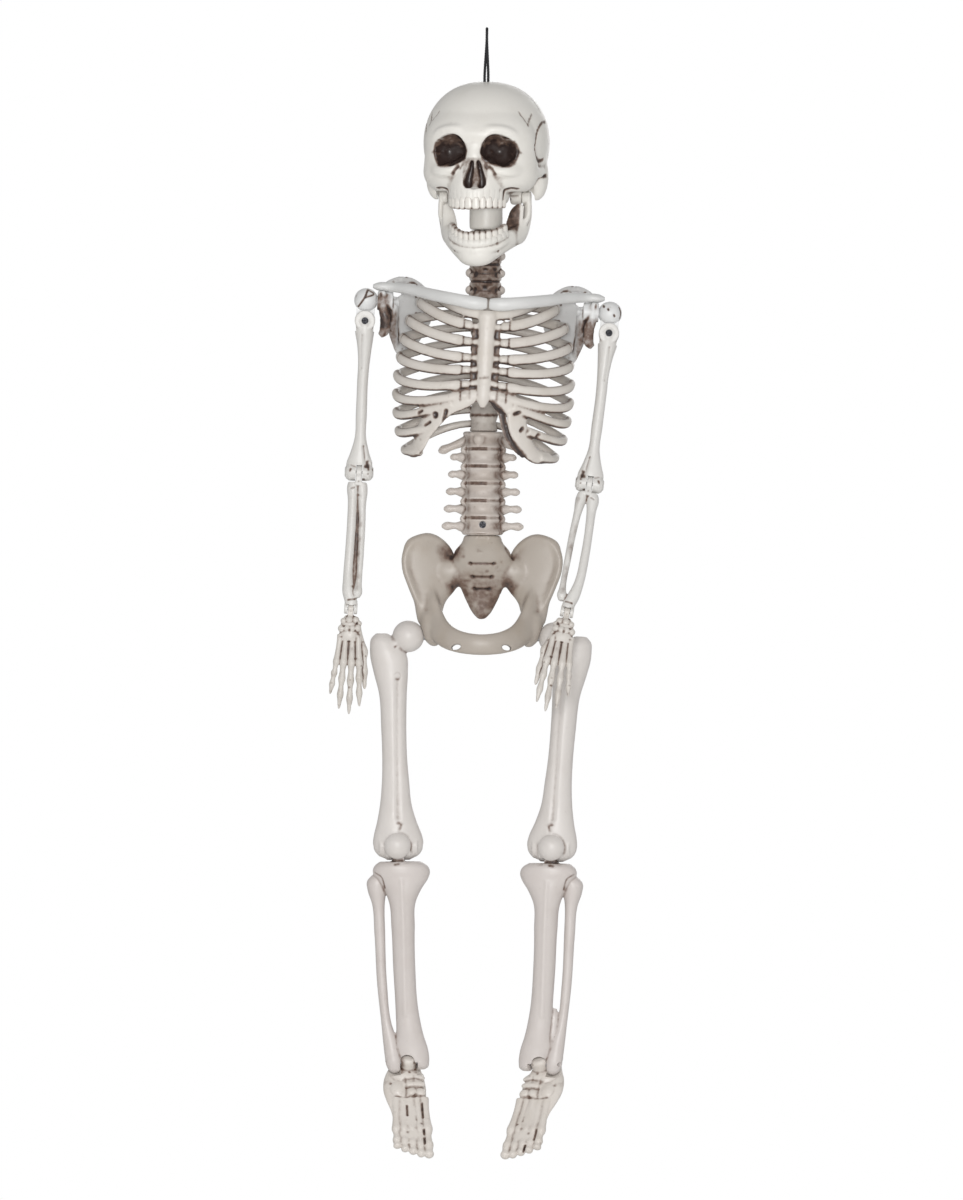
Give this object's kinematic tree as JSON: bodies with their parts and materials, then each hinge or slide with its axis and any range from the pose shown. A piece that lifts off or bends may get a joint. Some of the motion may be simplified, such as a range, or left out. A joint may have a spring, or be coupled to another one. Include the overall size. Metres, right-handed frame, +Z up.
{
  "type": "hanging skeleton figure",
  "caption": "Hanging plastic skeleton with hinged jaw, turning head, jointed shoulders, elbows, wrists, hips, knees and ankles, and a cord loop above the skull.",
  "frame": {"origin": "bearing point inside the top of the hanging loop, straight above the skull's cord hole", "axes": "+Z up along the hanging figure, -Y the way the chest faces, +X the figure's left side"},
  "size_m": [0.2411, 0.1406, 0.9449],
  "materials": {
    "bone": "semi-gloss ivory plastic with a brown antique wash in the recesses",
    "steel": "plain zinc-grey steel",
    "cord": "matte black twisted cord"
  },
  "bodies": {
    "skull": {"skull": "bone", "hanging_cord": "cord", "cord_knot": "cord", "right_jaw_pin": "bone", "left_jaw_pin": "bone"},
    "jaw": {"jaw": "bone"},
    "torso": {"neck": "bone", "front_rib_cage": "bone", "back_rib_cage": "bone", "right_collar_bone": "bone", "left_collar_bone": "bone", "right_shoulder_blade": "bone", "left_shoulder_blade": "bone", "lumbar_spine": "bone", "pelvis": "bone", "spine_screw": "steel", "right_hip_pin": "steel", "left_hip_pin": "steel"},
    "right_shoulder": {"right_shoulder_yoke": "bone"},
    "right_upper_arm": {"right_upper_arm": "bone", "right_shoulder_screw": "steel", "right_elbow_pin": "steel"},
    "right_forearm": {"right_forearm": "bone", "right_wrist_pin": "steel"},
    "right_hand": {"right_hand": "bone"},
    "right_thigh": {"right_thigh": "bone", "right_kneecap": "bone", "right_knee_pin": "steel"},
    "right_shin": {"right_shin": "bone", "right_ankle_pin": "steel"},
    "right_foot": {"right_foot": "bone"},
    "left_shoulder": {"left_shoulder_yoke": "bone"},
    "left_upper_arm": {"left_upper_arm": "bone", "left_shoulder_screw": "steel", "left_elbow_pin": "steel"},
    "left_forearm": {"left_forearm": "bone", "left_wrist_pin": "steel"},
    "left_hand": {"left_hand": "bone"},
    "left_thigh": {"left_thigh": "bone", "left_kneecap": "bone", "left_knee_pin": "steel"},
    "left_shin": {"left_shin": "bone", "left_ankle_pin": "steel"},
    "left_foot": {"left_foot": "bone"}
  },
  "joints": [
    {"name": "jaw", "type": "hinge", "parent": "skull", "child": "jaw", "pos_m": [0.00035, 0.00197, -0.14], "axis": [-0.9848, 0.1736, 0], "range_deg": [0, 16]},
    {"name": "neck_turn", "type": "hinge", "parent": "skull", "child": "torso", "pos_m": [0.00104, 0.00591, -0.1673], "axis": [0, 0, 1], "range_deg": [-70, 70]},
    {"name": "right_shoulder_swing", "type": "hinge", "parent": "torso", "child": "right_shoulder", "pos_m": [-0.09833, -0.00009, -0.22661], "axis": [-0.999, 0, 0.0436], "range_deg": [-45, 110]},
    {"name": "right_shoulder_raise", "type": "hinge", "parent": "right_shoulder", "child": "right_upper_arm", "pos_m": [-0.09907, 0.0008, -0.24357], "axis": [0.0023, 0.9986, 0.0523], "range_deg": [0, 80]},
    {"name": "right_elbow", "type": "hinge", "parent": "right_upper_arm", "child": "right_forearm", "pos_m": [-0.10261, 0.00744, -0.37034], "axis": [-0.9988, -0.0003, 0.0488], "range_deg": [0, 80]},
    {"name": "right_wrist", "type": "hinge", "parent": "right_forearm", "child": "right_hand", "pos_m": [-0.10819, -0.00458, -0.48458], "axis": [-0.9988, -0.0003, 0.0488], "range_deg": [-40, 40]},
    {"name": "right_hip", "type": "hinge", "parent": "torso", "child": "right_thigh", "pos_m": [-0.05996, 0.00791, -0.507], "axis": [-1, 0, 0], "range_deg": [-30, 90]},
    {"name": "right_knee", "type": "hinge", "parent": "right_thigh", "child": "right_shin", "pos_m": [-0.06643, 0.00763, -0.68206], "axis": [0.9992, 0.0349, 0.0209], "range_deg": [0, 95]},
    {"name": "right_ankle", "type": "hinge", "parent": "right_shin", "child": "right_foot", "pos_m": [-0.05571, 0.00995, -0.86288], "axis": [-0.996, -0.0872, -0.0209], "range_deg": [0, 65]},
    {"name": "left_shoulder_swing", "type": "hinge", "parent": "torso", "child": "left_shoulder", "pos_m": [0.10547, -0.00009, -0.2355], "axis": [-0.999, 0, 0.0436], "range_deg": [-3, 110]},
    {"name": "left_shoulder_raise", "type": "hinge", "parent": "left_shoulder", "child": "left_upper_arm", "pos_m": [0.10473, -0.00157, -0.25242], "axis": [0.0038, -0.9962, 0.0871], "range_deg": [0, 80]},
    {"name": "left_elbow", "type": "hinge", "parent": "left_upper_arm", "child": "left_forearm", "pos_m": [0.08994, -0.01261, -0.37807], "axis": [-0.9872, 0.0102, 0.1594], "range_deg": [0, 80]},
    {"name": "left_wrist", "type": "hinge", "parent": "left_forearm", "child": "left_hand", "pos_m": [0.07222, -0.04999, -0.48538], "axis": [-0.9872, 0.0102, 0.1594], "range_deg": [-40, 40]},
    {"name": "left_hip", "type": "hinge", "parent": "torso", "child": "left_thigh", "pos_m": [0.06204, 0.00791, -0.507], "axis": [-1, 0, 0], "range_deg": [-30, 35]},
    {"name": "left_knee", "type": "hinge", "parent": "left_thigh", "child": "left_shin", "pos_m": [0.062, 0.00666, -0.68218], "axis": [0.9877, -0.1563, -0.0099], "range_deg": [0, 95]},
    {"name": "left_ankle", "type": "hinge", "parent": "left_shin", "child": "left_foot", "pos_m": [0.05342, 0.00874, -0.86311], "axis": [-0.9336, 0.3583, 0.0082], "range_deg": [0, 65]}
  ]
}
